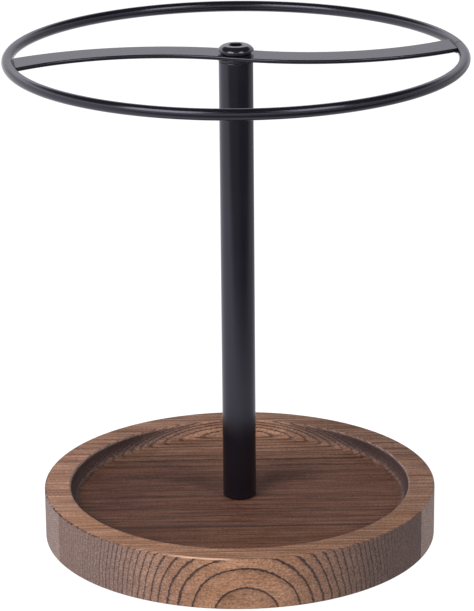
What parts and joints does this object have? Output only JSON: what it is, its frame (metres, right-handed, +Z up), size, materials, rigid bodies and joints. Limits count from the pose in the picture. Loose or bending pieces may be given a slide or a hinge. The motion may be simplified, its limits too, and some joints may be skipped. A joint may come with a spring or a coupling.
{
  "type": "eyeglass display rack",
  "caption": "Round wooden tray with a centre post that carries a spinning rod ring: glasses hang from the ring by their temples and small things lie in the tray.",
  "frame": {"origin": "centre of the underside, on the surface the feet stand on, under the post's axis", "axes": "+Z up along the post, +X along the wood grain to the viewer's right, -Y to the front, where the narrower board is"},
  "size_m": [0.1808, 0.1808, 0.2037],
  "materials": {
    "oiled_wood": "heat-darkened brown with dark growth rings, satin oil",
    "black_powder_coat": "satin black powder coat",
    "black_screw": "gloss black plating",
    "zinc_steel": "bright zinc plating",
    "black_nylon": "smooth black nylon",
    "rubber_foot": "matt black rubber"
  },
  "bodies": {
    "stand": {"base_front_board": "oiled_wood", "base_rear_board": "oiled_wood", "base_screw": "zinc_steel", "base_flat_washer": "zinc_steel", "base_lock_washer": "zinc_steel", "post_tube": "black_powder_coat", "post_bottom_plug": "zinc_steel", "post_top_plug": "zinc_steel", "pivot_screw": "black_screw", "lower_spin_washer": "black_nylon", "upper_spin_washer": "black_nylon", "foot_pad_front_left": "rubber_foot", "foot_pad_front_right": "rubber_foot", "foot_pad_rear_left": "rubber_foot", "foot_pad_rear_right": "rubber_foot"},
    "spinning_ring": {"ring_rod": "black_powder_coat", "ring_butt_weld": "black_powder_coat", "cross_strap": "black_powder_coat", "strap_weld_left": "black_powder_coat", "strap_weld_right": "black_powder_coat"}
  },
  "joints": [
    {"name": "ring_spin", "type": "hinge", "parent": "stand", "child": "spinning_ring", "pos_m": [0, 0, 0.19955], "axis": [0, 0, 1], "continuous": true}
  ]
}
